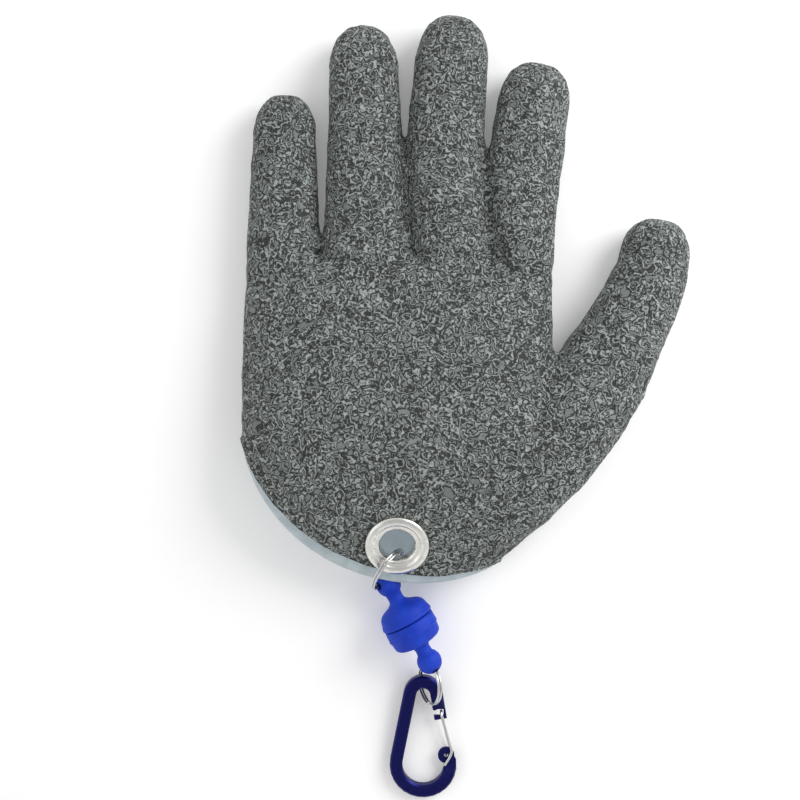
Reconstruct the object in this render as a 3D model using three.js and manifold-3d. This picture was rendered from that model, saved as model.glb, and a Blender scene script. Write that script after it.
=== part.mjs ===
// A right-hand fishing glove that lies palm up, with a magnetic release and a small carabiner.
// Millimetres. +X points to the thumb, +Y to the fingertips and +Z up from the table.
// Every shape is first worked out in the hand frame: its origin is on the table, below the middle
// of the palm. At the end the whole glove is moved so that the box's bottom centre is the origin.

import * as THREE from "three";
import { mergeVertices } from "three/addons/utils/BufferGeometryUtils.js";
import Module from "manifold-3d";

const wasm = await Module();
wasm.setup();

// Fabric and clearances
const COAT_WALL = 1.3;
const LINING_WALL = 1.0;
const PIECE_GAP = 0.3;
const LAYERS = COAT_WALL + PIECE_GAP + LINING_WALL;

// Palm
const PALM_WIDTH = 114;
const PALM_LENGTH = 119.5;
const PALM_DEPTH = 29;
const KNUCKLE_Y = 52.5;
const PALM_X = -0.7;

// Wrist opening: the fabric is cut along an arc between two folds
const FOLD_LEFT = { x: -58.1, y: -14.8 };
const FOLD_RIGHT = { x: 42.6, y: -57.4 };
const COAT_ARC_DEPTH = 24.2;
const LINING_ARC_DEPTH = 27.4;
const BACK_ARC_DEPTH = 26.4;
const SPLIT_HEIGHT = 5;
const LINING_INNER_ARC_DEPTH = -24;
const CUT_STEPS = 22;

// Eyelet
const EYELET_HOLE_R = 6.2;
const EYELET_FLANGE_R = 11.6;
const EYELET_CROWN = 1.5;
const EYELET_METAL = 0.6;
const EYELET_DISH = 1.7;
const BARREL_FLARE = 0.9;
const EYELET_INSET = 12.1;
const EYELET_ALONG = 12.4;
const BARREL_R = EYELET_HOLE_R + EYELET_METAL;
const WASHER_TOP = -LAYERS - PIECE_GAP;
const WASHER_LOW = WASHER_TOP - EYELET_METAL;

// Split rings. shift: the ring's centre from the eyelet's centre, or from the lower eye's centre.
// heading: degrees from +X to the ring's far end. lean: degrees off upright.
const RING_WIRE = 0.9;
const RING_TURN_GAP = 0.12;
const RING_STEPS = 25;
const RAMP_START = 0.88;
const RAMP_END = 1.12;
const RING_END_TRIM = 0.012;
const UPPER_RING = { radius: 8.5, shift: { x: -3.4, y: -9.57, z: -6.3 }, heading: 235.4, lean: -17.7 };
const LOWER_RING = { radius: 7.4, shift: { x: 0.26, y: -8.88, z: -2.04 }, heading: 272.2, lean: 28.2 };

// Magnetic release. UPPER_EYE_SHIFT: the upper eye's centre from the upper ring's line at the eye's
// height. EYE_DROP: how far below the ring's centre the eye hangs at most.
const MAGNET_R = 9.6;
const MAGNET_UPPER_LENGTH = 15;
const MAGNET_LOWER_LENGTH = 17.2;
const MAGNET_NECK_R = 2.8;
const EYE_R = 4.65;
const EYE_HOLE_R = 1.5;
const RELEASE_TURN = -62;
const UPPER_EYE_SHIFT = { x: 2.018, y: -0.688 };
const EYE_DROP = 5.9;

// Carabiner
const HOOK_BAR = 4.7;
const HOOK_THICKNESS = 3.8;
const HOOK_CHAMFER = 0.6;
const HOOK_TOP_R = 5;
const HOOK_BOTTOM_R = 10.2;
const HOOK_SPAN = 26.6;
const HOOK_LIFT = 3.0;
const HOOK_SHIFT = { x: -2.18, y: -13.76 };
const HOOK_NOSE_DROP = 8.8;
const KNOB_R = 3.1;
const GATE_WIRE = 1.1;
const GATE_SPREAD = 1.35;
const GATE_STEPS = 52;
const TAB_THICKNESS = 1.0;
const HOOK_TOP_STEPS = 11;
const HOOK_BOTTOM_STEPS = 15;
const HOOK_END_TURN = 366;

const DEG = Math.PI / 180;
const WIRE_SIDES = 6;
const DRILL_SIDES = 26;
const ABOVE = 3 * PALM_DEPTH;

const FINISHES = {
  coat: { color: 0x656e6a, roughness: 0.85, metalness: 0 },
  lining: { color: 0x8b949a, roughness: 0.9, metalness: 0 },
  nickel: { color: 0xd6d4cc, roughness: 0.25, metalness: 1 },
  steel: { color: 0xb9bab6, roughness: 0.2, metalness: 1 },
  silicone: { color: 0x1c3fae, roughness: 0.55, metalness: 0 },
  anodised: { color: 0x1d1f7a, roughness: 0.35, metalness: 0.7 },
};

// Palm sections from the knuckles to the wrist. along: share of PALM_LENGTH from the knuckle line.
// left and right: edges as shares of PALM_WIDTH from PALM_X. high: share of PALM_DEPTH.
const PALM_SECTIONS = [
  { along: -0.004, left: -0.462, right: 0.470, high: 0.34 },
  { along: 0.010, left: -0.484, right: 0.492, high: 0.53 },
  { along: 0.045, left: -0.491, right: 0.501, high: 0.66 },
  { along: 0.129, left: -0.499, right: 0.498, high: 0.76 },
  { along: 0.252, left: -0.501, right: 0.499, high: 0.84 },
  { along: 0.375, left: -0.503, right: 0.522, high: 0.91 },
  { along: 0.497, left: -0.503, right: 0.566, high: 0.97 },
  { along: 0.590, left: -0.502, right: 0.604, high: 1.0 },
  { along: 0.682, left: -0.497, right: 0.600, high: 0.98 },
  { along: 0.774, left: -0.490, right: 0.519, high: 0.90 },
  { along: 0.866, left: -0.480, right: 0.415, high: 0.775 },
  { along: 0.958, left: -0.465, right: 0.300, high: 0.62 },
  { along: 1.060, left: -0.445, right: 0.170, high: 0.46 },
];

// Fingers, from the little finger to the index finger. length: from the root, inside the palm, to the
// tip. width and depth: at the middle. root: its x as a share of PALM_WIDTH from PALM_X.
// lean: degrees off +Y, positive to the thumb. roll: degrees, the thumb side raised. bow: sideways
// bend at mid length as a share of the width. base and tip: width there as shares of the width.
const FINGERS = [
  { length: 76.5, width: 25.2, depth: 18.5, root: -0.372, lean: 0.3, roll: 3, bow: -0.01, base: 1.12, tip: 0.92 },
  { length: 101.5, width: 27.6, depth: 20, root: -0.096, lean: -1.2, roll: 6, bow: 0, base: 1.28, tip: 0.93 },
  { length: 105, width: 28.8, depth: 20.5, root: 0.204, lean: -2.15, roll: 6, bow: -0.135, base: 1.03, tip: 0.93 },
  { length: 88, width: 28.2, depth: 20, root: 0.419, lean: 1.93, roll: 6, bow: -0.105, base: 0.71, tip: 0.95 },
];
const FINGER_ROOT_DEPTH = 15;
const FINGER_STEPS = [0, 0.17, 0.34, 0.52, 0.7, 0.86, 1];
const ROOT_TAPER = 0.75;
const TIP_LENGTH = 16.5;
const TIP_STEPS = [0.15, 0.42, 0.7, 0.92];
const TIP_POWER = 2.25;
const STEADY_SHARE = 0.7;
const DEPTH_LOSS = 0.1;
const FINGER_COUNTS = { top: 9, bottom: 6 };
const THUMB_COUNTS = { top: 10, bottom: 7 };
const PALM_COUNTS = { top: 16, bottom: 10 };
const PALM_SQUARENESS = 3.4;
const FINGER_SQUARENESS = 2.3;

// Thumb sections from inside the palm to the tip, as shares: x of PALM_WIDTH from PALM_X,
// along of PALM_LENGTH from the knuckle line; half of THUMB_WIDTH; high of THUMB_DEPTH.
const THUMB_WIDTH = 32;
const THUMB_DEPTH = 27;
const THUMB_SECTIONS = [
  { x: 0.277, along: 0.787, half: 0.52, high: 0.78 },
  { x: 0.365, along: 0.697, half: 0.60, high: 0.92 },
  { x: 0.465, along: 0.590, half: 0.625, high: 1.0 },
  { x: 0.578, along: 0.466, half: 0.585, high: 0.98 },
  { x: 0.655, along: 0.360, half: 0.545, high: 0.93 },
  { x: 0.719, along: 0.250, half: 0.485, high: 0.87 },
  { x: 0.781, along: 0.138, half: 0.448, high: 0.81 },
  { x: 0.824, along: 0.046, half: 0.412, high: 0.75 },
  { x: 0.834, along: -0.008, half: 0.394, high: 0.71 },
];
const THUMB_TIP_LENGTH = 14;
const THUMB_ROLL = -4;

// Geometry helpers

function solidFrom(geometry) {
  const bare = geometry.index ? geometry.toNonIndexed() : geometry.clone();
  bare.deleteAttribute("normal");
  bare.deleteAttribute("uv");
  const merged = mergeVertices(bare, 1e-5);
  return new wasm.Manifold(new wasm.Mesh({
    numProp: 3,
    vertProperties: new Float32Array(merged.attributes.position.array),
    triVerts: new Uint32Array(merged.index.array),
  }));
}

function geometryFrom(solid) {
  const mesh = solid.getMesh();
  const geometry = new THREE.BufferGeometry();
  geometry.setAttribute("position", new THREE.BufferAttribute(new Float32Array(mesh.vertProperties), 3));
  geometry.setIndex(new THREE.BufferAttribute(new Uint32Array(mesh.triVerts), 1));
  return geometry;
}

// A closed skin through rings of equal point counts, each end closed by a fan
function loft(rings) {
  const count = rings[0].length;
  const points = rings.flat();
  const faces = [];
  for (let r = 0; r + 1 < rings.length; r += 1) {
    for (let i = 0; i < count; i += 1) {
      const j = (i + 1) % count;
      const a = r * count + i;
      const b = r * count + j;
      faces.push(a, b, a + count, b, b + count, a + count);
    }
  }
  for (const end of [0, rings.length - 1]) {
    const middle = points.length;
    points.push(rings[end].reduce((sum, p) => sum.add(p), new THREE.Vector3()).divideScalar(count));
    for (let i = 0; i < count; i += 1) {
      const j = (i + 1) % count;
      if (end === 0) faces.push(middle, j, i);
      else faces.push(middle, end * count + i, end * count + j);
    }
  }
  const geometry = new THREE.BufferGeometry();
  geometry.setAttribute("position", new THREE.Float32BufferAttribute(points.flatMap((p) => p.toArray()), 3));
  geometry.setIndex(faces);
  return geometry;
}

// One cross-section, flattened where it rests: side is the unit direction across, turned by roll
function sectionRing(centre, side, half, high, roll, inset, counts, power) {
  const middle = high * 0.47;
  const wide = half - inset;
  const rise = high - middle - inset;
  const drop = middle * 1.1 - inset * 0.6;
  const points = [];
  const add = (u, v) => {
    const turned = u * Math.sin(roll) + v * Math.cos(roll);
    const across = u * Math.cos(roll) - v * Math.sin(roll);
    const z = Math.max(inset, middle + turned);
    points.push(new THREE.Vector3(centre.x + side.x * across, centre.y + side.y * across, z));
  };
  const height = (share) => Math.pow(Math.max(0, 1 - Math.pow(Math.abs(share), power)), 1 / 2.1);
  for (let i = 0; i < counts.top; i += 1) {
    const share = Math.sin((0.5 - i / counts.top) * Math.PI);
    add(wide * share, rise * height(share));
  }
  for (let i = 0; i < counts.bottom; i += 1) {
    const share = -Math.sin((0.5 - i / counts.bottom) * Math.PI);
    add(wide * share, -drop * height(share));
  }
  return points;
}

function palmSections() {
  return PALM_SECTIONS.map((row) => ({
    y: KNUCKLE_Y - row.along * PALM_LENGTH,
    x: PALM_X + (row.left + row.right) / 2 * PALM_WIDTH,
    half: (row.right - row.left) / 2 * PALM_WIDTH,
    high: row.high * PALM_DEPTH,
  }));
}

function palmSolid(inset) {
  const across = new THREE.Vector3(-1, 0, 0);
  const rings = palmSections().map((row, i) => {
    const place = new THREE.Vector3(row.x, row.y - (i < 3 ? inset : 0), 0);
    return sectionRing(place, across, row.half, row.high, 0, inset, PALM_COUNTS, PALM_SQUARENESS);
  });
  return solidFrom(loft(rings.reverse()));
}

// Rings along a path whose end is rounded over tipLength
function tubeSolid(stations, tipLength, inset, counts, roll) {
  const ringAt = (s, place) => (
    sectionRing(place, s.side, s.half, s.high, roll, inset, counts, FINGER_SQUARENESS)
  );
  const rings = stations.map((s) => ringAt(s, s.place));
  const last = stations[stations.length - 1];
  for (const step of TIP_STEPS) {
    const shrink = Math.pow(1 - Math.pow(step, TIP_POWER), 1 / TIP_POWER);
    const place = last.place.clone().addScaledVector(last.ahead, step * (tipLength - inset));
    const centre = new THREE.Vector3(place.x, place.y, last.high * 0.45);
    rings.push(ringAt(last, place).map((p) => p.sub(centre).multiplyScalar(shrink).add(centre)));
  }
  return solidFrom(loft(rings));
}

function fingerSolid(finger, inset) {
  const lean = finger.lean * DEG;
  const ahead = new THREE.Vector3(Math.sin(lean), Math.cos(lean), 0);
  const thumbward = new THREE.Vector3(Math.cos(lean), -Math.sin(lean), 0);
  const root = new THREE.Vector3(PALM_X + finger.root * PALM_WIDTH, KNUCKLE_Y - FINGER_ROOT_DEPTH, 0);
  const straight = finger.length - TIP_LENGTH;
  const bow = finger.bow * finger.width;
  const stations = FINGER_STEPS.map((share) => {
    const place = root.clone()
      .addScaledVector(ahead, share * straight)
      .addScaledVector(thumbward, bow * Math.sin(share * Math.PI));
    const heading = ahead.clone()
      .addScaledVector(thumbward, bow * Math.PI * Math.cos(share * Math.PI) / straight)
      .normalize();
    const side = new THREE.Vector3(-heading.y, heading.x, 0);
    const wide = share < STEADY_SHARE
      ? THREE.MathUtils.lerp(finger.base, 1, share / STEADY_SHARE)
      : THREE.MathUtils.lerp(1, finger.tip, (share - STEADY_SHARE) / (1 - STEADY_SHARE));
    const sunk = share === 0 ? ROOT_TAPER : 1;
    const high = finger.depth * (1 - DEPTH_LOSS * share) * sunk;
    return { place, side, ahead: heading, half: finger.width * wide * sunk / 2, high };
  });
  return tubeSolid(stations, TIP_LENGTH, inset, FINGER_COUNTS, finger.roll * DEG);
}

function thumbSolid(inset) {
  const places = THUMB_SECTIONS.map((row) => new THREE.Vector3(
    PALM_X + row.x * PALM_WIDTH,
    KNUCKLE_Y - row.along * PALM_LENGTH,
    0,
  ));
  const stations = THUMB_SECTIONS.map((row, i) => {
    const before = places[Math.max(0, i - 1)];
    const after = places[Math.min(places.length - 1, i + 1)];
    const ahead = after.clone().sub(before).normalize();
    const side = new THREE.Vector3(-ahead.y, ahead.x, 0);
    return { place: places[i], side, ahead, half: row.half * THUMB_WIDTH, high: row.high * THUMB_DEPTH };
  });
  return tubeSolid(stations, THUMB_TIP_LENGTH, inset, THUMB_COUNTS, THUMB_ROLL * DEG);
}

function joined(solids) {
  return solids.reduce((whole, next) => whole.add(next));
}

function handSolid(inset) {
  return joined([palmSolid(inset), thumbSolid(inset), ...FINGERS.map((finger) => fingerSolid(finger, inset))]);
}

// The line between the two folds: its ends, middle, length and two unit directions
function wristChord() {
  const start = new THREE.Vector2(FOLD_LEFT.x, FOLD_LEFT.y);
  const end = new THREE.Vector2(FOLD_RIGHT.x, FOLD_RIGHT.y);
  const middle = start.clone().add(end).multiplyScalar(0.5);
  const along = end.clone().sub(start).normalize();
  const inward = new THREE.Vector2(-along.y, along.x);
  return { start, end, middle, along, inward, half: start.distanceTo(end) / 2 };
}

// Everything on the wrist side of an arc between the folds that sags by arcDepth, between two heights.
// A sag below zero bends the arc toward the fingers.
function wristCutter(arcDepth, low, high) {
  const { start, end, middle, along, inward, half } = wristChord();
  const radius = (half * half + arcDepth * arcDepth) / (2 * arcDepth);
  const centre = middle.clone().addScaledVector(inward, radius - arcDepth);
  const spread = Math.asin(half / radius);
  const outline = [];
  for (let i = 0; i <= CUT_STEPS; i += 1) {
    const turn = spread * (2 * i / CUT_STEPS - 1);
    outline.push(centre.clone()
      .addScaledVector(along, radius * Math.sin(turn))
      .addScaledVector(inward, -radius * Math.cos(turn)));
  }
  const reach = PALM_LENGTH;
  outline.push(new THREE.Vector2(end.x + reach, end.y - reach * 0.15));
  outline.push(new THREE.Vector2(end.x + reach, start.y - 2 * reach));
  outline.push(new THREE.Vector2(start.x - reach, start.y - 2 * reach));
  outline.push(new THREE.Vector2(start.x - reach, start.y));
  const block = new THREE.ExtrudeGeometry(new THREE.Shape(outline), { depth: high - low, bevelEnabled: false });
  block.translate(0, 0, low);
  return solidFrom(block);
}

function cutWrist(solid, frontDepth) {
  return solid
    .subtract(wristCutter(frontDepth, SPLIT_HEIGHT, ABOVE))
    .subtract(wristCutter(BACK_ARC_DEPTH, -ABOVE, SPLIT_HEIGHT));
}

// Height of the palm's top along its middle line, and its slope there
function palmTop(y) {
  const rows = palmSections();
  let i = 0;
  while (i + 2 < rows.length && rows[i + 1].y > y) i += 1;
  const slope = (rows[i + 1].high - rows[i].high) / (rows[i + 1].y - rows[i].y);
  return { high: rows[i].high + (y - rows[i].y) * slope, slope };
}

// The eyelet's frame on the palm: out from the chord by the arc's depth less the inset
function eyeletFrame() {
  const { middle, along, inward } = wristChord();
  const place = middle.addScaledVector(along, EYELET_ALONG)
    .addScaledVector(inward, EYELET_INSET - COAT_ARC_DEPTH);
  const top = palmTop(place.y);
  const across = new THREE.Vector3(1, 0, 0);
  const normal = new THREE.Vector3(0, -top.slope, 1).normalize();
  const frame = new THREE.Matrix4().makeBasis(across, normal.clone().cross(across), normal);
  return frame.setPosition(place.x, place.y, top.high);
}

// A closed profile of [radius, height] pairs turned round +Z
function turned(profile, segments) {
  const points = profile.map(([r, z]) => new THREE.Vector2(r, z));
  const geometry = new THREE.LatheGeometry(points, segments);
  geometry.rotateX(Math.PI / 2);
  return geometry;
}

function drill(radius, low, high, frame) {
  const tool = new THREE.CylinderGeometry(radius, radius, high - low, DRILL_SIDES);
  tool.rotateX(Math.PI / 2);
  tool.translate(0, 0, (low + high) / 2);
  tool.applyMatrix4(frame);
  return solidFrom(tool);
}

function eyeletGeometry(frame) {
  const seat = PIECE_GAP;
  const crown = seat + EYELET_CROWN;
  const lip = WASHER_LOW - PIECE_GAP;
  const dish = EYELET_HOLE_R + EYELET_DISH;
  const profile = [
    [EYELET_HOLE_R, lip],
    [BARREL_R + BARREL_FLARE, lip - 0.5],
    [BARREL_R + BARREL_FLARE, lip],
    [BARREL_R, lip + 0.2],
    [BARREL_R, seat],
    [EYELET_FLANGE_R, seat],
    [EYELET_FLANGE_R, seat + 0.4],
    [EYELET_FLANGE_R - 0.7, crown - 0.35],
    [EYELET_FLANGE_R - 1.7, crown],
    [EYELET_FLANGE_R - 2.6, crown - 0.1],
    [dish + 0.35, crown - 0.8],
    [dish, seat + 0.6],
    [EYELET_HOLE_R + 0.25, seat + 0.15],
    [EYELET_HOLE_R, -EYELET_METAL],
    [EYELET_HOLE_R, lip],
  ];
  const geometry = turned(profile, 24);
  geometry.applyMatrix4(frame);
  return geometry;
}

function washerGeometry(frame) {
  const inner = BARREL_R + PIECE_GAP;
  const outer = EYELET_FLANGE_R - 1;
  const corners = [[inner, WASHER_LOW], [outer, WASHER_LOW], [outer, WASHER_TOP], [inner, WASHER_TOP]];
  const profile = [...corners, corners[0]];
  const geometry = turned(profile, 24);
  geometry.applyMatrix4(frame);
  return geometry;
}

function coatGeometry(eyelet) {
  const shell = handSolid(0).subtract(handSolid(COAT_WALL));
  return geometryFrom(pierced(cutWrist(shell, COAT_ARC_DEPTH), eyelet));
}

function liningGeometry(eyelet) {
  const outer = COAT_WALL + PIECE_GAP;
  const layer = (inset) => palmSolid(inset).add(thumbSolid(inset));
  const shell = layer(outer).subtract(layer(outer + LINING_WALL));
  const sleeve = cutWrist(shell, LINING_ARC_DEPTH)
    .intersect(wristCutter(LINING_INNER_ARC_DEPTH, -ABOVE, ABOVE));
  return geometryFrom(pierced(sleeve, eyelet));
}

// The hole for the barrel, a flat seat under the flange and room for the washer
function pierced(solid, eyelet) {
  const reach = 3 * LAYERS;
  const stop = WASHER_LOW - 1;
  return solid
    .subtract(drill(BARREL_R + PIECE_GAP, stop, reach, eyelet))
    .subtract(drill(EYELET_FLANGE_R + PIECE_GAP, 0, reach, eyelet))
    .subtract(drill(EYELET_FLANGE_R, stop, -LAYERS, eyelet));
}

// A split ring: two turns of round wire side by side that join over a short ramp
function splitRing(radius, frame) {
  const pitch = RING_WIRE + RING_TURN_GAP;
  const steps = 2 * RING_STEPS;
  const points = [];
  for (let i = 0; i <= steps; i += 1) {
    const turn = i / RING_STEPS;
    const climb = THREE.MathUtils.smoothstep(turn, RAMP_START, RAMP_END);
    const angle = 2 * Math.PI * (RING_END_TRIM + turn * (1 - RING_END_TRIM));
    points.push(new THREE.Vector3(radius * Math.cos(angle), radius * Math.sin(angle), (climb - 0.5) * pitch));
  }
  return wireSweep(points, RING_WIRE, steps, frame);
}

// Round wire of one thickness through points
function wireSweep(points, thickness, steps, frame) {
  const outline = new THREE.Shape();
  outline.absarc(0, 0, thickness / 2, 0, 2 * Math.PI, false);
  const geometry = new THREE.ExtrudeGeometry(outline, {
    steps,
    curveSegments: WIRE_SIDES / 2,
    bevelEnabled: false,
    extrudePath: new THREE.CatmullRomCurve3(points),
  });
  geometry.applyMatrix4(frame);
  return geometry;
}

// A ring's own frame: first axis toward its far end, second up the leaning plane
function ringFrame(from, ring) {
  const heading = new THREE.Vector3(Math.cos(ring.heading * DEG), Math.sin(ring.heading * DEG), 0);
  const rise = new THREE.Vector3(-heading.y, heading.x, 0)
    .multiplyScalar(Math.sin(ring.lean * DEG))
    .add(new THREE.Vector3(0, 0, Math.cos(ring.lean * DEG)));
  const centre = from.clone().add(ring.shift);
  return new THREE.Matrix4().makeBasis(heading, rise, heading.clone().cross(rise)).setPosition(centre);
}

// The place at a height on the far side of a ring's middle line
function pointOnRing(frame, radius, height) {
  const centre = new THREE.Vector3().setFromMatrixPosition(frame);
  const climb = frame.elements[6];
  const turn = Math.asin(THREE.MathUtils.clamp((height - centre.z) / (radius * climb), -1, 1));
  return new THREE.Vector3(radius * Math.cos(turn), radius * Math.sin(turn), 0).applyMatrix4(frame);
}

function torusCutter(frame, radius) {
  const tool = new THREE.TorusGeometry(radius, EYE_HOLE_R, 10, 40);
  tool.applyMatrix4(frame);
  return solidFrom(tool);
}

// One half of the release, turned round its axis: [distance from the eye's centre, radius]
function magnetHalf(rows, frame) {
  const profile = rows.map(([s, r]) => new THREE.Vector2(Math.max(0, r), s));
  const geometry = new THREE.LatheGeometry(profile, 22);
  geometry.applyMatrix4(frame);
  return geometry;
}

function eyeRows(start, towards) {
  const rows = [];
  for (const turn of [0, 30, 60, 90, 120, 140]) {
    const s = start - towards * EYE_R * Math.cos(turn * DEG);
    rows.push([s, EYE_R * Math.sin(turn * DEG)]);
  }
  return rows;
}

function upperRows() {
  const face = MAGNET_UPPER_LENGTH;
  return [
    ...eyeRows(0, 1),
    [5.6, MAGNET_NECK_R],
    [7.2, MAGNET_NECK_R + 0.5],
    [8.6, MAGNET_R * 0.62],
    [9.7, MAGNET_R * 0.86],
    [11.4, MAGNET_R * 0.97],
    [face - 1.6, MAGNET_R],
    [face - 0.9, MAGNET_R + 0.3],
    [face, MAGNET_R + 0.1],
    [face, 0],
  ];
}

function lowerRows() {
  const eye = MAGNET_UPPER_LENGTH + MAGNET_LOWER_LENGTH;
  const face = MAGNET_UPPER_LENGTH + PIECE_GAP;
  return [
    [face, 0],
    [face, MAGNET_R],
    [face + 3.8, MAGNET_R],
    [face + 4.4, MAGNET_R - 0.3],
    [face + 7.2, MAGNET_R * 0.9],
    [face + 8.8, MAGNET_R * 0.7],
    [face + 9.8, MAGNET_R * 0.36],
    [face + 11.2, MAGNET_NECK_R * 0.9],
    ...eyeRows(eye, -1).reverse(),
  ];
}

// Carabiner, in its own flat frame: origin at the top bend's centre, -Y toward the bottom bend
const KNOB = { x: 0.85 * HOOK_BOTTOM_R, y: -HOOK_SPAN + 0.33 * HOOK_BOTTOM_R };
const NOSE = { x: HOOK_TOP_R + 1.5, y: -HOOK_NOSE_DROP };
const GATE_TOP = { x: NOSE.x + 0.3, y: NOSE.y + 2.4 };

// The bar's middle line: from the nose over the top bend, down the spine and round the bottom bend.
// The nose and the spine leave the bends at a tangent.
function hookLine() {
  const toNose = Math.atan2(NOSE.y, NOSE.x) + Math.acos(HOOK_TOP_R / Math.hypot(NOSE.x, NOSE.y));
  const spine = Math.PI - Math.asin((HOOK_BOTTOM_R - HOOK_TOP_R) / HOOK_SPAN);
  const points = [new THREE.Vector2(NOSE.x, NOSE.y)];
  const bend = (radius, y, from, to, steps) => {
    for (let i = 0; i <= steps; i += 1) {
      const turn = THREE.MathUtils.lerp(from, to, i / steps);
      points.push(new THREE.Vector2(radius * Math.cos(turn), y + radius * Math.sin(turn)));
    }
  };
  bend(HOOK_TOP_R, 0, toNose, spine, HOOK_TOP_STEPS);
  bend(HOOK_BOTTOM_R, -HOOK_SPAN, spine, HOOK_END_TURN * DEG, HOOK_BOTTOM_STEPS);
  points.push(new THREE.Vector2(KNOB.x, KNOB.y));
  return points;
}

function hookOutline() {
  const line = hookLine();
  const left = [];
  const right = [];
  line.forEach((p, i) => {
    const ahead = line[Math.min(line.length - 1, i + 1)].clone().sub(line[Math.max(0, i - 1)]).normalize();
    const side = new THREE.Vector2(-ahead.y, ahead.x).multiplyScalar(HOOK_BAR / 2 - HOOK_CHAMFER);
    left.push(p.clone().add(side));
    right.push(p.clone().sub(side));
  });
  return new THREE.Shape([...left, ...right.reverse()]);
}

function hookGeometry(frame) {
  const bar = new THREE.ExtrudeGeometry(hookOutline(), {
    depth: HOOK_THICKNESS - 2 * HOOK_CHAMFER,
    bevelSize: HOOK_CHAMFER,
    bevelThickness: HOOK_CHAMFER,
    bevelSegments: 1,
  });
  bar.translate(0, 0, HOOK_CHAMFER - HOOK_THICKNESS / 2);
  const knob = new THREE.CylinderGeometry(KNOB_R, KNOB_R, HOOK_THICKNESS, 24);
  knob.rotateX(Math.PI / 2);
  knob.translate(KNOB.x, KNOB.y, 0);
  const here = (x, y) => new THREE.Matrix4().setPosition(x, y, 0);
  const room = GATE_WIRE + PIECE_GAP;
  const milled = KNOB_R + GATE_WIRE + 1.2;
  let body = solidFrom(bar).add(solidFrom(knob));
  for (const flip of [1, -1]) {
    const low = flip > 0 ? TAB_THICKNESS / 2 : -HOOK_THICKNESS;
    const high = flip > 0 ? HOOK_THICKNESS : -TAB_THICKNESS / 2;
    body = body.subtract(drill(milled, low, high, here(KNOB.x, KNOB.y)));
    body = body.subtract(drill(HOOK_BAR, low, high, here(NOSE.x + 0.6, NOSE.y - 0.6)));
  }
  const slot = new THREE.BoxGeometry(HOOK_BAR, GATE_WIRE + 4 * PIECE_GAP, 2 * HOOK_THICKNESS);
  slot.translate(GATE_TOP.x + GATE_WIRE / 2 + PIECE_GAP - HOOK_BAR / 2, GATE_TOP.y - PIECE_GAP, 0);
  body = body.subtract(solidFrom(slot));
  body = body.subtract(drill(room / 2 + 0.15, -HOOK_THICKNESS, HOOK_THICKNESS, here(KNOB.x, KNOB.y)));
  const geometry = geometryFrom(body);
  geometry.applyMatrix4(frame);
  return geometry;
}

// The gate: one wire, from its pin in the knob along one face, round the nose and back on the other
function gateGeometry(frame) {
  const level = GATE_SPREAD;
  const nose = new THREE.Vector2(GATE_TOP.x, GATE_TOP.y - 0.9);
  const knob = new THREE.Vector2(KNOB.x, KNOB.y);
  const elbow = new THREE.Vector2(KNOB.x + 1.9, KNOB.y + 1.4);
  const at = (p, z) => new THREE.Vector3(p.x, p.y, z);
  const points = [at(knob, -0.3), at(knob, -level), at(elbow, -level)];
  for (const share of [0.3, 0.6, 0.9]) points.push(at(elbow.clone().lerp(nose, share), -level));
  points.push(at(nose, -level * 0.94));
  points.push(at(new THREE.Vector2(GATE_TOP.x, GATE_TOP.y), 0));
  points.push(at(nose, level * 0.94));
  for (const share of [0.9, 0.6, 0.3]) points.push(at(elbow.clone().lerp(nose, share), level));
  points.push(at(elbow, level), at(knob.clone().add(new THREE.Vector2(-0.6, -3.6)), level));
  return wireSweep(points, GATE_WIRE, GATE_STEPS, frame);
}

function named(name, geometry, finish) {
  const mesh = new THREE.Mesh(geometry, new THREE.MeshStandardMaterial(FINISHES[finish]));
  mesh.name = name;
  return mesh;
}

const glove = new THREE.Group();
const eyelet = eyeletFrame();
const seat = new THREE.Vector3().setFromMatrixPosition(eyelet);

const upperRing = ringFrame(seat, UPPER_RING);
const ringCentre = new THREE.Vector3().setFromMatrixPosition(upperRing);

// Release: its axis lies level, the cups resting on the table unless the ring holds them higher
const releaseAxis = new THREE.Vector3(Math.cos(RELEASE_TURN * DEG), Math.sin(RELEASE_TURN * DEG), 0);
const restHeight = MAGNET_R + PIECE_GAP;
const eyeHeight = Math.max(restHeight, ringCentre.z - EYE_DROP);
const releaseLift = eyeHeight - restHeight;
const ringLine = pointOnRing(upperRing, UPPER_RING.radius, eyeHeight);
const upperEye = new THREE.Vector3(ringLine.x + UPPER_EYE_SHIFT.x, ringLine.y + UPPER_EYE_SHIFT.y, eyeHeight);
const releaseFrame = new THREE.Matrix4().makeBasis(
  new THREE.Vector3(-releaseAxis.y, releaseAxis.x, 0),
  releaseAxis,
  new THREE.Vector3(0, 0, -1),
).setPosition(upperEye);

// Lower ring and carabiner: placed from the lower eye. The carabiner's foot lies on the table when the
// cups do.
const lowerEye = upperEye.clone().addScaledVector(releaseAxis, MAGNET_UPPER_LENGTH + MAGNET_LOWER_LENGTH);
const lowerRing = ringFrame(lowerEye, LOWER_RING);
const hookLength = HOOK_SPAN + HOOK_TOP_R + HOOK_BOTTOM_R + HOOK_BAR;
const hookTilt = Math.asin(HOOK_LIFT / hookLength);
const hookRise = HOOK_THICKNESS / 2 + HOOK_LIFT * (1 - (HOOK_TOP_R + HOOK_BAR / 2) / hookLength);
const hookFrame = new THREE.Matrix4()
  .makeRotationX(hookTilt)
  .setPosition(lowerEye.x + HOOK_SHIFT.x, lowerEye.y + HOOK_SHIFT.y, hookRise + releaseLift);

glove.add(named("crinkle_coat", coatGeometry(eyelet), "coat"));
glove.add(named("cuff_lining", liningGeometry(eyelet), "lining"));
glove.add(named("eyelet", eyeletGeometry(eyelet), "nickel"));
glove.add(named("eyelet_washer", washerGeometry(eyelet), "nickel"));

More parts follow.
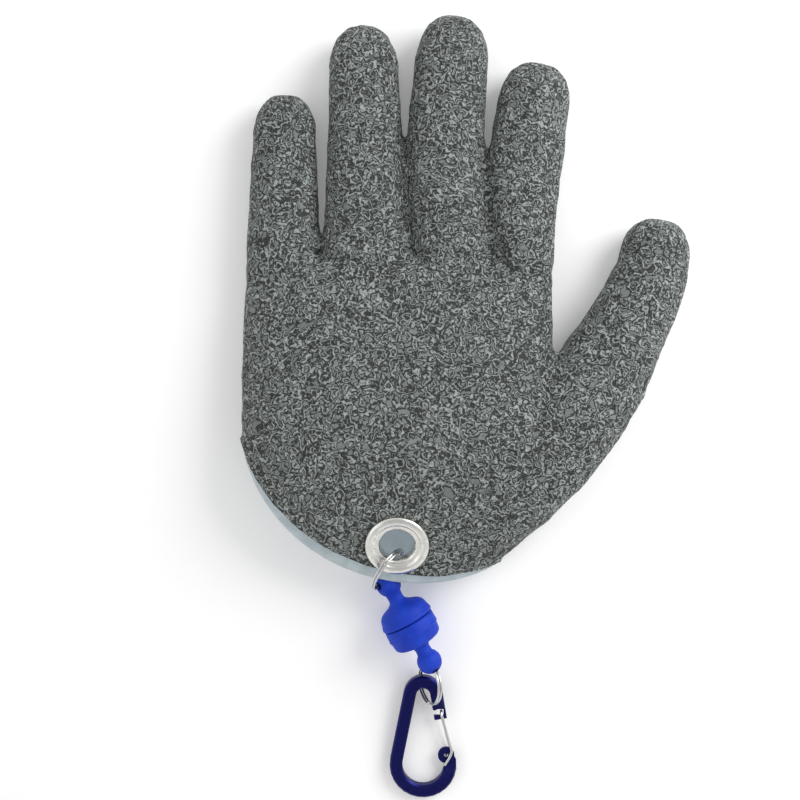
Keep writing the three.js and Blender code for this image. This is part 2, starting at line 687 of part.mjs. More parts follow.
glove.add(named("upper_ring", splitRing(UPPER_RING.radius, upperRing), "steel"));
const upperHalf = solidFrom(magnetHalf(upperRows(), releaseFrame))
  .subtract(torusCutter(upperRing, UPPER_RING.radius));
glove.add(named("magnet_upper", geometryFrom(upperHalf), "silicone"));
const lowerHalf = solidFrom(magnetHalf(lowerRows(), releaseFrame))
  .subtract(torusCutter(lowerRing, LOWER_RING.radius));
glove.add(named("magnet_lower", geometryFrom(lowerHalf), "silicone"));
glove.add(named("lower_ring", splitRing(LOWER_RING.radius, lowerRing), "steel"));
glove.add(named("carabiner_body", hookGeometry(hookFrame), "anodised"));
glove.add(named("carabiner_gate", gateGeometry(hookFrame), "steel"));

const box = new THREE.Box3().setFromObject(glove);
glove.position.set(-(box.min.x + box.max.x) / 2, -(box.min.y + box.max.y) / 2, -box.min.z);

export default glove;
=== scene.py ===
"""A crinkled fishing glove, palm up, with its eyelet, split rings, magnetic release and carabiner."""

import logging
import math
from dataclasses import dataclass
from enum import Enum

import bmesh
import bpy
import numpy as np
from mathutils import Matrix, Vector, noise
from mathutils.bvhtree import BVHTree


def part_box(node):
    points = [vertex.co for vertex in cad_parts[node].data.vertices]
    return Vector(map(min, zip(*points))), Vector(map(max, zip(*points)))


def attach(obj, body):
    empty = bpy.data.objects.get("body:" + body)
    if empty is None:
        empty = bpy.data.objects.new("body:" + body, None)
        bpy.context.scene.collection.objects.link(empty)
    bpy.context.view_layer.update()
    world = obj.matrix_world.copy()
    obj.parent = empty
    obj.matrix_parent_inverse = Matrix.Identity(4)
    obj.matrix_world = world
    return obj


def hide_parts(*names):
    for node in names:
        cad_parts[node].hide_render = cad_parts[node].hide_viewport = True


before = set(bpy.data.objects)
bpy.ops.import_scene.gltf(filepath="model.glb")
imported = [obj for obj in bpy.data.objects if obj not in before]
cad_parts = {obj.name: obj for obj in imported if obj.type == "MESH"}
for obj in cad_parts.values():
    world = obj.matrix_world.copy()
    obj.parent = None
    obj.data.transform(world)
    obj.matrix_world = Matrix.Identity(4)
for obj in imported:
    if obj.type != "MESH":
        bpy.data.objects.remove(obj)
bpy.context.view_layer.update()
LOG = logging.getLogger("glove")
MM = 0.001
Colour = tuple[float, float, float]


class HandFrame:
    """The hand frame: millimetres from the table point below the camera, as the part's sizes use."""

    COAT_LEFT = -58.042
    COAT_TOP = 141.647

    def __init__(self) -> None:
        """Find the hand frame's origin from the coat's box."""
        low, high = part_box("crinkle_coat")
        self.origin = Vector((low.x - self.COAT_LEFT * MM, high.y - self.COAT_TOP * MM, 0.0))

    def point(self, x: float, y: float, z: float) -> Vector:
        """Give the scene point of a place in the hand frame.

        Args:
            x: Millimetres towards the thumb.
            y: Millimetres towards the fingertips.
            z: Millimetres above the table.

        Returns:
            The same place in metres.
        """
        return self.origin + Vector((x, y, z)) * MM


HAND = HandFrame()


@dataclass(frozen=True)
class WristSizes:
    """The wrist opening: an arc between two folds.

    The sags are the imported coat's, front and back. The hems are where the two cloths end.
    """

    fold_left: tuple[float, float] = (-58.1, -14.8)
    fold_right: tuple[float, float] = (42.6, -57.4)
    coat_sag: float = 24.2
    back_sag: float = 26.4
    coat_hem: float = 23.8
    lining_hem: float = 27.9
    lining_inner_sag: float = -24.0


@dataclass(frozen=True)
class EyeletSizes:
    """The eyelet in the palm side's wrist edge."""

    along: float = 12.4
    inset: float = 12.1
    hole_r: float = 6.2
    flange_r: float = 11.6
    crown: float = 1.5
    metal: float = 0.6
    seat_high: float = 22.03
    seat_slope: float = 0.40885


@dataclass(frozen=True)
class ChainSizes:
    """Where the hardware hangs: millimetres from the piece before it, and degrees."""

    upper_ring_at: tuple[float, float, float] = (-3.4, -9.57, -6.3)
    upper_ring_r: float = 8.5
    upper_heading: float = 235.4
    upper_lean: float = -17.7
    eye_at: tuple[float, float] = (0.2, -6.6)
    eye_height: float = 9.9
    lower_ring_at: tuple[float, float, float] = (0.26, -8.88, -2.04)
    lower_ring_r: float = 7.4
    lower_heading: float = 272.2
    lower_lean: float = 28.2


WRIST = WristSizes()
EYELET = EyeletSizes()
CHAIN = ChainSizes()
# Share of the form's faces that a cloth keeps before it gets its wall
FACES_KEPT = 0.42
WIRE_SIDES = 14


class WristArc:
    """The arc between the two folds, in the hand frame."""

    # Millimetres past the folds' line that an arc still answers for, and its answer beyond them
    NEAR = 1.0
    FAR = 50.0

    def __init__(self) -> None:
        """Work out the line between the folds and its directions."""
        start = np.array(WRIST.fold_left)
        end = np.array(WRIST.fold_right)
        self.middle = (start + end) / 2
        self.half = float(np.linalg.norm(end - start)) / 2
        self.along = (end - start) / (2 * self.half)
        self.inward = np.array((-self.along[1], self.along[0]))

    def circle(self, sag: np.ndarray) -> tuple[np.ndarray, np.ndarray]:
        """Give the centre and the signed radius of the arc with each sag.

        Args:
            sag: One sag for each point, in millimetres.

        Returns:
            Centres and radii.
        """
        radius = (self.half**2 + sag**2) / (2 * sag)
        centre = self.middle + (radius - sag)[:, None] * self.inward
        return centre, radius

    def beyond(self, places: np.ndarray, sag: np.ndarray) -> np.ndarray:
        """Say how far each place is on the wrist side of its arc.

        Args:
            places: Plan positions in the hand frame.
            sag: One sag for each place.

        Returns:
            Millimetres, positive on the wrist side.
        """
        centre, radius = self.circle(sag)
        reach = (np.linalg.norm(places - centre, axis=1) - np.abs(radius)) * np.sign(radius)
        out = -(places - self.middle) @ self.inward
        outward = np.where(out > -self.NEAR, reach, -self.FAR)
        inward = np.where(out < self.NEAR, reach, self.FAR * np.sign(out))
        return np.where(sag > 0, outward, inward)

    def snapped(self, places: np.ndarray, sag: np.ndarray) -> np.ndarray:
        """Move each place onto its arc, straight towards or away from the arc's centre."""
        centre, radius = self.circle(sag)
        away = places - centre
        return centre + away / np.linalg.norm(away, axis=1)[:, None] * np.abs(radius)[:, None]


ARC = WristArc()


def eyelet_frame() -> Matrix:
    """Give the eyelet's frame in the scene: its seat's centre, with +Z out of the palm."""
    x, y = ARC.middle + EYELET.along * ARC.along + (EYELET.inset - WRIST.coat_sag) * ARC.inward
    across = Vector((1, 0, 0))
    normal = Vector((0, -EYELET.seat_slope, 1)).normalized()
    axes = Matrix((across, normal.cross(across), normal)).transposed().to_4x4()
    return Matrix.Translation(HAND.point(float(x), float(y), EYELET.seat_high)) @ axes


def positions(bm: bmesh.types.BMesh) -> np.ndarray:
    """Give a mesh's vertex positions in metres."""
    return np.array([v.co for v in bm.verts], float).reshape(-1, 3)


def plan(co: np.ndarray) -> np.ndarray:
    """Give plan positions in the hand frame, in millimetres."""
    return (co[:, :2] - np.array(HAND.origin)[:2]) / MM


def merged_copy(node: str) -> bmesh.types.BMesh:
    """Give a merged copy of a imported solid's mesh."""
    bm = bmesh.new()
    bm.from_mesh(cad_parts[node].data)
    bmesh.ops.remove_doubles(bm, verts=bm.verts[:], dist=1e-6)
    return bm


def new_object(name: str, bm: bmesh.types.BMesh, smooth: bool = True) -> bpy.types.Object:
    """Make an object from a mesh in the making, and free that.

    Args:
        name: The piece's name.
        bm: The mesh in the making.
        smooth: Whether its faces shade smoothly.

    Returns:
        The new object, at the origin.
    """
    mesh = bpy.data.meshes.new(name)
    for face in bm.faces:
        face.smooth = smooth
    bm.to_mesh(mesh)
    bm.free()
    obj = bpy.data.objects.new(name, mesh)
    bpy.context.scene.collection.objects.link(obj)
    return obj


def applied(obj: bpy.types.Object) -> None:
    """Bake an object's modifiers into its mesh."""
    graph = bpy.context.evaluated_depsgraph_get()
    baked = bpy.data.meshes.new_from_object(obj.evaluated_get(graph))
    old = obj.data
    obj.modifiers.clear()
    obj.data = baked
    bpy.data.meshes.remove(old)


class Graph:
    """A short way to write a material's or a group's nodes."""

    def __init__(self, tree: bpy.types.NodeTree) -> None:
        """Keep the tree."""
        self.tree = tree

    def node(self, kind: str, inputs: dict | None = None, **values: object) -> bpy.types.Node:
        """Add a node.

        Args:
            kind: The node's type name.
            inputs: Values or sockets for its inputs, by name or number.
            **values: Its own settings.

        Returns:
            The node.
        """
        node = self.tree.nodes.new(kind)
        for name, value in values.items():
            setattr(node, name, value)
        for name, value in (inputs or {}).items():
            if isinstance(value, bpy.types.NodeSocket):
                self.tree.links.new(value, node.inputs[name])
            else:
                node.inputs[name].default_value = value
        return node

    def math(self, operation: str, *values: object, clamp: bool = False) -> bpy.types.NodeSocket:
        """Add a Math node and give its result."""
        node = self.node("ShaderNodeMath", dict(enumerate(values)), operation=operation, use_clamp=clamp)
        return node.outputs[0]

    def vector(self, operation: str, *values: object) -> bpy.types.NodeSocket:
        """Add a Vector Math node and give its vector."""
        node = self.node("ShaderNodeVectorMath", {}, operation=operation)
        for i, value in enumerate(values):
            slot = "Scale" if operation == "SCALE" and i == 1 else i
            if isinstance(value, bpy.types.NodeSocket):
                self.tree.links.new(value, node.inputs[slot])
            else:
                node.inputs[slot].default_value = value
        return node.outputs[0]

    def noise(
        self, vector: object, scale: float, detail: float = 2.0, output: str = "Fac",
    ) -> bpy.types.NodeSocket:
        """Add a Noise Texture and give one output."""
        found = self.node("ShaderNodeTexNoise", {"Vector": vector, "Scale": scale, "Detail": detail})
        return found.outputs[output]

    def remap(
        self, value: object, low: float, high: float, to_low: float, to_high: float,
    ) -> bpy.types.NodeSocket:
        """Add a smooth Map Range and give its result."""
        inputs = {"Value": value, "From Min": low, "From Max": high, "To Min": to_low, "To Max": to_high}
        return self.node("ShaderNodeMapRange", inputs, interpolation_type="SMOOTHSTEP").outputs["Result"]

    def blend(self, share: object, first: object, second: object) -> bpy.types.NodeSocket:
        """Mix two colours and give the result."""
        node = self.node("ShaderNodeMix", {}, data_type="RGBA")
        for slot, value in ((0, share), (6, first), (7, second)):
            if isinstance(value, bpy.types.NodeSocket):
                self.tree.links.new(value, node.inputs[slot])
            else:
                node.inputs[slot].default_value = value if slot == 0 else (*value, 1.0)
        return node.outputs[2]


class Finish:
    """A material in the making: its Principled shader and Object coordinates."""

    def __init__(self, name: str) -> None:
        """Make the material and its shader."""
        self.material = bpy.data.materials.new(name)
        self.material.use_nodes = True
        self.graph = Graph(self.material.node_tree)
        self.shader = self.material.node_tree.nodes["Principled BSDF"]
        self.place = self.graph.node("ShaderNodeTexCoord").outputs["Object"]

    def set(self, **values: object) -> None:
        """Set or link the shader's inputs; an underscore stands for a space."""
        for name, value in values.items():
            slot = self.shader.inputs[name.replace("_", " ")]
            if isinstance(value, bpy.types.NodeSocket):
                self.material.node_tree.links.new(value, slot)
            else:
                slot.default_value = value

    def bump(self, height: bpy.types.NodeSocket, strength: float, distance: float) -> None:
        """Feed a height to the shader's normal."""
        inputs = {"Height": height, "Strength": strength, "Distance": distance}
        node = self.graph.node("ShaderNodeBump", inputs)
        self.set(Normal=node.outputs["Normal"])


def group_tree(name: str, inputs: dict[str, str], outputs: dict[str, str]) -> bpy.types.NodeTree:
    """Make an empty shader node group.

    Args:
        name: The group's name.
        inputs: Socket types by input name.
        outputs: Socket types by output name.

    Returns:
        The group, with its input and output nodes.
    """
    tree = bpy.data.node_groups.new(name, "ShaderNodeTree")
    for side, sockets in (("INPUT", inputs), ("OUTPUT", outputs)):
        for label, kind in sockets.items():
            tree.interface.new_socket(label, in_out=side, socket_type=kind)
    tree.nodes.new("NodeGroupInput")
    tree.nodes.new("NodeGroupOutput")
    return tree


@dataclass(frozen=True)
class CrinkleSizes:
    """The crinkle's lines, in cells of its noise."""

    stir_scale: float = 2.3
    stir: float = 0.62
    step: float = 0.04
    detail: float = 1.2
    least_slope: float = 0.06
    ridge_half: float = 0.07
    ridge_height: float = 0.7
    groove_at: float = 0.135
    groove_floor: float = 0.015
    groove_half: float = 0.085


def crinkle_group(sizes: CrinkleSizes) -> bpy.types.NodeTree:
    """Make the crinkle: meandering ridges of even width, with a groove on both sides.

    The ridges run along level lines of a noise. The noise's slope turns its value into a distance.

    Args:
        sizes: The lines' sizes.

    Returns:
        A group that takes Place, Cells per metre and Levels, and gives Ridge, Groove and Height.
    """
    value = "NodeSocketFloat"
    tree = group_tree(
        "crinkle lines",
        {"Place": "NodeSocketVector", "Cells": value, "Levels": value},
        {"Ridge": value, "Groove": value, "Height": value},
    )
    g = Graph(tree)
    given = tree.nodes["Group Input"].outputs
    place = g.vector("SCALE", given["Place"], given["Cells"])
    stir = g.vector("SUBTRACT", g.noise(place, sizes.stir_scale, 1.0, "Color"), (0.5, 0.5, 0.5))
    place = g.vector("ADD", place, g.vector("SCALE", stir, sizes.stir))
    step = sizes.step
    here = g.noise(place, 1.0, sizes.detail)
    slopes = []
    for way in ((step, 0, 0), (0, step, 0), (0, 0, step)):
        there = g.noise(g.vector("ADD", place, way), 1.0, sizes.detail)
        slopes.append(g.math("POWER", g.math("SUBTRACT", there, here), 2.0))
    total = g.math("ADD", g.math("ADD", slopes[0], slopes[1]), slopes[2])
    slope = g.math("MAXIMUM", g.math("DIVIDE", g.math("SQRT", total), step), sizes.least_slope)
    level = g.math("MULTIPLY", here, given["Levels"])
    off = g.math("ABSOLUTE", g.math("SUBTRACT", level, g.math("ROUND", level)))
    near = g.math("DIVIDE", g.math("DIVIDE", off, given["Levels"]), slope)
    ridge = g.remap(near, 0.0, sizes.ridge_half, 1.0, 0.0)
    dip = g.math("ABSOLUTE", g.math("SUBTRACT", near, sizes.groove_at))
    groove = g.remap(dip, sizes.groove_floor, sizes.groove_half, 1.0, 0.0)
    height = g.math("SUBTRACT", g.math("MULTIPLY", ridge, sizes.ridge_height), groove)
    sink = tree.nodes["Group Output"].inputs
    for label, socket in (("Ridge", ridge), ("Groove", groove), ("Height", height)):
        tree.links.new(socket, sink[label])
    return tree


@dataclass(frozen=True)
class CrinkledLatex:
    """The matte grey coat with its crinkles: painted highlights along the ridges and painted shade in the
    grooves.
    """

    base: Colour = (0.162, 0.182, 0.172)
    # Painted highlight for the tops of the crinkle ridges
    light: Colour = (0.390, 0.420, 0.402)
    # Painted shade for the floors of the crinkle grooves
    painted_groove_shade: Colour = (0.006, 0.008, 0.007)
    cells: float = 245.0
    levels: float = 5.4
    patches: float = 90.0
    patch_tones: tuple[float, float] = (0.86, 1.16)
    painted_shade_share: float = 0.95
    painted_highlight_share: float = 0.8
    grain: float = 2600.0
    grain_height: float = 0.12
    depth: float = 0.00034

    def build(self, lines: bpy.types.NodeTree) -> bpy.types.Material:
        """Make the material.

        Args:
            lines: The crinkle's group.

        Returns:
            The material.
        """
        finish = Finish("crinkled latex")
        g = finish.graph
        found = g.node("ShaderNodeGroup", {}, node_tree=lines)
        g.tree.links.new(finish.place, found.inputs["Place"])
        found.inputs["Cells"].default_value = self.cells
        found.inputs["Levels"].default_value = self.levels
        tone = g.remap(g.noise(finish.place, self.patches, 3.0), 0.3, 0.7, 0.0, 1.0)
        field = g.blend(tone, *(tuple(share * c for c in self.base) for share in self.patch_tones))
        # Painted shade: the grooves are darkened towards this colour, over the random patches
        with_painted_groove_shade = g.blend(g.math("MULTIPLY", found.outputs["Groove"], self.painted_shade_share), field, self.painted_groove_shade)
        # Painted highlight: the ridges are lightened towards the light colour
        with_painted_ridge_highlight = g.blend(g.math("MULTIPLY", found.outputs["Ridge"], self.painted_highlight_share), with_painted_groove_shade, self.light)
        grain = g.noise(finish.place, self.grain, 2.0)
        finish.set(Base_Color=with_painted_ridge_highlight, Roughness=g.remap(grain, 0.3, 0.7, 0.62, 0.8))
        height = g.math("ADD", found.outputs["Height"], g.math("MULTIPLY", grain, self.grain_height))
        finish.bump(height, 1.0, self.depth)
        return finish.material


@dataclass(frozen=True)
class LinerCloth:
    """The smooth blue-grey inner cloth, with a faint painted glow that stands in for light reaching it inside
    the glove's mouth.
    """

    base: Colour = (0.235, 0.275, 0.298)
    pale: Colour = (0.310, 0.350, 0.375)
    painted_light_glow: float = 0.19
    painted_light_colour: Colour = (0.80, 0.94, 1.0)
    knit: float = 620.0

    def build(self) -> bpy.types.Material:
        """Make the material."""
        finish = Finish("liner cloth")
        g = finish.graph
        tone = g.remap(g.noise(finish.place, 220.0, 3.0), 0.35, 0.65, 0.0, 1.0)
        knit = g.node("ShaderNodeTexWave", {"Vector": finish.place, "Scale": self.knit, "Distortion": 1.2})
        finish.set(Base_Color=g.blend(tone, self.base, self.pale), Roughness=0.9, Sheen_Weight=0.25)
        # Painted light: a faint even emission that brightens the shaded lining
        finish.set(Emission_Color=(*self.painted_light_colour, 1.0), Emission_Strength=self.painted_light_glow)
        finish.bump(knit.outputs["Fac"], 0.25, 0.0001)
        return finish.material


@dataclass(frozen=True)
class BrightMetal:
    """Polished metal with fine brushing and a little wear."""

    name: str = "nickel"
    base: Colour = (0.82, 0.81, 0.77)
    roughness: float = 0.2

    def build(self) -> bpy.types.Material:
        """Make the material."""
        finish = Finish(self.name)
        g = finish.graph
        cloud = g.noise(finish.place, 500.0, 4.0)
        worn = g.remap(cloud, 0.4, 0.72, 0.0, 1.0)
        finish.set(
            Base_Color=g.blend(worn, self.base, tuple(0.86 * c for c in self.base)),
            Metallic=1.0,
            Roughness=g.remap(cloud, 0.3, 0.7, self.roughness, self.roughness + 0.12),
        )
        finish.bump(g.noise(finish.place, 1800.0, 1.0), 0.03, 0.00005)
        return finish.material


@dataclass(frozen=True)
class BlueSilicone:
    """The release's soft matte blue skin."""

    base: Colour = (0.007, 0.036, 0.420)
    pale: Colour = (0.012, 0.055, 0.530)

    def build(self) -> bpy.types.Material:
        """Make the material."""
        finish = Finish("blue silicone")
        g = finish.graph
        tone = g.remap(g.noise(finish.place, 160.0, 3.0), 0.3, 0.7, 0.0, 1.0)
        grain = g.noise(finish.place, 2200.0, 2.0)
        finish.set(
            Base_Color=g.blend(tone, self.base, self.pale),
            Roughness=g.remap(grain, 0.3, 0.7, 0.5, 0.66),
            Specular_IOR_Level=0.2,
        )
        finish.bump(grain, 0.2, 0.00006)
        return finish.material


@dataclass(frozen=True)
class BlueAnodised:
    """The carabiner's anodised aluminium: near black-blue by its finish, bright blue in the light."""

    base: Colour = (0.008, 0.009, 0.095)

    def build(self) -> bpy.types.Material:
        """Make the material."""
        finish = Finish("blue anodised aluminium")
        g = finish.graph
        grain = g.noise(finish.place, 1500.0, 3.0)
        tone = g.remap(grain, 0.35, 0.65, 0.0, 1.0)
        finish.set(
            Base_Color=g.blend(tone, self.base, tuple(1.25 * c for c in self.base)),
            Metallic=0.85,
            Roughness=g.remap(grain, 0.3, 0.7, 0.3, 0.42),
        )
        finish.bump(grain, 0.12, 0.00004)
        return finish.material


class Layer(Enum):
    """The glove's two cloth layers."""

    COAT = "coat"
    LINING = "lining"


@dataclass
class GloveForm:
    """The whole hand as one smooth closed surface, which both layers are cut from."""

    cell: float = 1.15
    passes: int = 8
    kept: float = 0.6
    regrow: float = 0.22
    spare: float = 9.0
    split_low: float = 3.0
    split_high: float = 8.0
    edge_share: float = 0.45
    edge_slack: float = 0.12
    ray_start: float = 1e-4
    bore_gap: float = 0.4
    bore_reach: float = 3.0
    seat_reach: float = 6.0
    flat_width: float = 3.4
    flat_ramp: float = 3.0
    inner_from: float = -12.0

    def build(self) -> None:
        """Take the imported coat's outer skin, close it, and remesh and smooth it."""
        bm = self.outer_skin()
        self.extend(bm)
        bmesh.ops.holes_fill(bm, edges=[e for e in bm.edges if e.is_boundary], sides=0)
        bmesh.ops.triangulate(bm, faces=bm.faces[:])
        bmesh.ops.recalc_face_normals(bm, faces=bm.faces[:])
        obj = new_object("hand form", bm)
        remesh = obj.modifiers.new("even cells", "REMESH")
        remesh.mode = "VOXEL"
        remesh.voxel_size = self.cell * MM
        applied(obj)
        self.surface = bmesh.new()
        self.surface.from_mesh(obj.data)
        bpy.data.objects.remove(obj)
        before = BVHTree.FromBMesh(self.surface)
        for _ in range(self.passes):
            bmesh.ops.smooth_vert(
                self.surface, verts=self.surface.verts[:], factor=0.5,
                use_axis_x=True, use_axis_y=True, use_axis_z=True,
            )
        for vert in self.surface.verts:
            vert.co = vert.co.lerp(before.find_nearest(vert.co)[0], self.kept)
        self.surface.normal_update()
        for vert in self.surface.verts:
            vert.co += vert.normal * self.regrow * MM
            vert.co.z = max(vert.co.z, 0.0)
        LOG.info("hand form: %d vertices", len(self.surface.verts))

    def outer_skin(self) -> bmesh.types.BMesh:
        """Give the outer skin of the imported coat, without the cut edges."""
        bm = merged_copy("crinkle_coat")
        both = bm.copy()
        both.from_mesh(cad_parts["cuff_lining"].data)
        tree = BVHTree.FromBMesh(both)
        both.free()
        co = positions(bm)
        places = plan(co)
        edge = np.zeros(len(co), bool)
        for sag in (WRIST.coat_sag, WRIST.back_sag):
            edge |= np.abs(ARC.beyond(places, np.full(len(co), sag))) < self.edge_slack
        seat = eyelet_frame().inverted()
        up = Vector((0, 0, 1))
        gone = []
        for face in bm.faces:
            start = face.calc_center_median() + face.normal * self.ray_start
            shut = tree.ray_cast(start, up)[0] and tree.ray_cast(start, -up)[0]
            local = seat @ start
            bored = math.hypot(local.x, local.y) < (EYELET.flange_r + 0.5) * MM and local.z > -4 * MM
            if shut or bored or all(edge[v.index] for v in face.verts):
                gone.append(face)
        bmesh.ops.delete(bm, geom=gone, context="FACES")
        self.keep_largest(bm)
        return bm

    @staticmethod
    def keep_largest(bm: bmesh.types.BMesh) -> None:
        """Delete all but the largest run of joined faces."""
        left = set(bm.faces)
        runs = []
        while left:
            run = {left.pop()}
            queue = list(run)
            while queue:
                for edge in queue.pop().edges:
                    for face in edge.link_faces:
                        if face in left:
                            left.discard(face)
                            run.add(face)
                            queue.append(face)
            runs.append(run)
        keep = max(runs, key=len)
        bmesh.ops.delete(bm, geom=[f for f in bm.faces if f not in keep], context="FACES")
        loose = [v for v in bm.verts if not v.link_faces]
        bmesh.ops.delete(bm, geom=loose, context="VERTS")

    def extend(self, bm: bmesh.types.BMesh) -> None:
        """Run the skin on past the wrist's cut, so that the cut has a whole surface to pass through."""
        edges = max(self.boundary_loops([e for e in bm.edges if e.is_boundary]), key=len)
        made = bmesh.ops.extrude_edge_only(bm, edges=edges)["geom"]
        out = Vector((-ARC.inward[0], -ARC.inward[1], 0.0))
        for vert in (v for v in made if isinstance(v, bmesh.types.BMVert)):
            vert.co += out * self.spare * MM
            vert.co.z *= 0.8

    @staticmethod
    def boundary_loops(edges: list) -> list[list]:
        """Sort boundary edges into connected runs."""
        left = set(edges)
        runs = []
        while left:
            run = [left.pop()]
            queue = list(run)
            while queue:
                for vert in queue.pop().verts:
                    for edge in vert.link_edges:
                        if edge in left:
                            left.discard(edge)
                            run.append(edge)
                            queue.append(edge)
            runs.append(run)
        return runs

    def sag(self, layer: Layer, heights: np.ndarray) -> np.ndarray:
        """Give the wrist arc's sag at each height, from the back layer's to the front layer's."""
        front = WRIST.coat_hem if layer is Layer.COAT else WRIST.lining_hem
        share = np.clip((heights - self.split_low) / (self.split_high - self.split_low), 0, 1)
        share = share * share * (3 - 2 * share)
        return WRIST.back_sag + (front - WRIST.back_sag) * share

    def cut(self, layer: Layer, inset: float) -> bmesh.types.BMesh:
        """Cut one layer's open surface out of the form.

        Args:
            layer: Which cloth.
            inset: How far inside the form it lies, in millimetres.

        Returns:
            The open surface.
        """
        bm = self.surface.copy()
        bm.normal_update()
        for vert in bm.verts:
            vert.co -= vert.normal * inset * MM
            vert.co.z = max(vert.co.z, inset * MM)
        tree = BVHTree.FromBMesh(bm)
        co = positions(bm)
        places = plan(co)
        sag = self.sag(layer, co[:, 2] / MM)
        far = ARC.beyond(places, sag)
        gone = far > -self.edge_share * self.cell
        if layer is Layer.LINING:
            inner = np.full(len(co), WRIST.lining_inner_sag)
            gone |= ARC.beyond(places, inner) < self.edge_share * self.cell
        seat = eyelet_frame()
        local = (co - np.array(seat.translation)) @ np.array(seat.to_3x3()) / MM
        radial = np.hypot(local[:, 0], local[:, 1])
        bore = EYELET.hole_r + EYELET.metal + self.bore_gap
        level = np.abs(local[:, 2]) < self.seat_reach
        gone |= (radial < bore + self.bore_gap) & level
        flat = np.clip((EYELET.flange_r + self.flat_width - radial) / self.flat_ramp, 0, 1) * level
        lift = (-inset - local[:, 2]) * flat * flat * (3 - 2 * flat)
        normal = np.array(seat.to_3x3())[:, 2]
        moved = co + lift[:, None] * normal * MM
        for vert, place in zip(bm.verts, moved):
            vert.co = place
        bmesh.ops.delete(bm, geom=[v for v, bad in zip(bm.verts[:], gone) if bad], context="VERTS")
        self.keep_largest(bm)
        self.snap(bm, layer, tree, seat, bore)
        return bm

    def snap(
        self, bm: bmesh.types.BMesh, layer: Layer, tree: BVHTree, seat: Matrix, bore: float,
    ) -> None:
        """Move the open surface's edges onto the wrist arc, the inner arc and the bore.

        Args:
            bm: The open surface.
            layer: Which cloth.
            tree: The whole form at this layer's depth, for the heights.
            seat: The eyelet's frame.
            bore: The radius of the hole for the eyelet's barrel, in millimetres.
        """
        back = seat.inverted()
        for vert in [v for v in bm.verts if v.is_boundary]:
            local = back @ vert.co
            radial = math.hypot(local.x, local.y)
            if radial < (bore + self.bore_reach) * MM and abs(local.z) < self.seat_reach * MM:
                local.x *= bore * MM / radial
                local.y *= bore * MM / radial
                vert.co = seat @ local
                continue
            co = np.array([vert.co])
            sag = self.sag(layer, co[:, 2] / MM)
            inner = np.full(1, WRIST.lining_inner_sag)
            if layer is Layer.LINING and ARC.beyond(plan(co), sag)[0] < self.inner_from:
                sag = inner
            place = ARC.snapped(plan(co), sag)[0]
            target = HAND.point(float(place[0]), float(place[1]), vert.co.z / MM)
            near = tree.find_nearest(target)[0]
            vert.co = Vector((target.x, target.y, near.z))
        ring = {v for v in bm.verts if v.is_boundary}
        beside = {w for v in ring for e in v.link_edges for w in e.verts} - ring
        for _ in range(3):
            bmesh.ops.smooth_vert(
                bm, verts=list(beside), factor=0.5, use_axis_x=True, use_axis_y=True, use_axis_z=True,
            )


def thickened(name: str, bm: bmesh.types.BMesh, thickness: float) -> tuple[bpy.types.Object, int]:
    """Thin out an open surface's faces and give it a wall, inwards.

    Args:
        name: The piece's name.
        bm: The open surface.
        thickness: The wall, in millimetres.

    Returns:
        The object, and how many of its first vertices are the outer skin.
    """
    bm.normal_update()
    obj = new_object(name, bm)
    thin = obj.modifiers.new("fewer faces", "DECIMATE")
    thin.ratio = FACES_KEPT
    applied(obj)
    count = len(obj.data.vertices)
    wall = obj.modifiers.new("wall", "SOLIDIFY")
    wall.thickness = thickness * MM
    wall.offset = -1.0
    wall.use_rim = True
    applied(obj)
    return obj, count


@dataclass
class GloveCloth:
    """The coat and the lining."""

    form: GloveForm
    coat_wall: float = 1.3
    lining_wall: float = 1.0
    gap: float = 0.3
    plate: float = 0.20
    wrinkle: float = 0.42
    line: float = 0.10

    def relief(self, co: Vector) -> float:
        """Give the coat's height at a place, in millimetres: broad wrinkles, plates and small lines."""
        p = co / MM
        across = Vector((p.x * 0.055, p.y * 0.12, p.z * 0.1))
        broad = noise.noise(across) + 0.5 * noise.noise(across * 2.1 + Vector((7, 3, 1)))
        plates = noise.noise(p * 0.21) + 0.6 * noise.noise(p * 0.47)
        stirred = p + Vector(noise.noise_vector(p * 0.3)) * 2.2
        lines = 1 - min(1.0, abs(noise.noise(stirred * 0.34)) * 6)
        return self.wrinkle * broad + self.plate * plates - self.line * lines

    def build_coat(self, material: bpy.types.Material) -> bpy.types.Object:
        """Make the crinkled coat."""
        obj, skin = thickened("crinkled_coat", self.form.cut(Layer.COAT, 0.0), self.coat_wall)
        bm = bmesh.new()
        bm.from_mesh(obj.data)
        bm.verts.ensure_lookup_table()
        outer = bm.verts.layers.float.new("outer")
        for vert in bm.verts[:skin]:
            vert[outer] = 1.0
        bm.normal_update()
        fine = [f for f in bm.faces if f.normal.z > 0.12 and all(v[outer] > 0.5 for v in f.verts)]
        edges = {e for f in fine for e in f.edges}
        bmesh.ops.subdivide_edges(bm, edges=list(edges), cuts=1, use_grid_fill=True, smooth=0.0)
        bm.normal_update()
        seat = eyelet_frame().inverted()
        pushes = []
        for vert in bm.verts:
            local = seat @ vert.co / MM
            clear = min(1.0, max(0.0, (math.hypot(local.x, local.y) - EYELET.flange_r - 0.8) / 3.0))
            near = 1.0 if abs(local.z) > 8 else clear
            low = min(1.0, vert.co.z / (2.0 * MM))
            pushes.append(self.relief(vert.co) * near * low * (1.0 if vert[outer] > 0.99 else 0.0))
        for vert, push in zip(bm.verts, pushes):
            vert.co += vert.normal * push * MM
        for face in bm.faces:
            face.smooth = True
        bm.to_mesh(obj.data)
        bm.free()
        obj.data.materials.append(material)
        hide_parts("crinkle_coat")
        return obj

    def build_lining(self, material: bpy.types.Material) -> bpy.types.Object:
        """Make the smooth lining."""
        inset = self.coat_wall + self.gap
        obj, _ = thickened("liner_cuff", self.form.cut(Layer.LINING, inset), self.lining_wall)
        obj.data.materials.append(material)
        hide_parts("cuff_lining")
        return obj


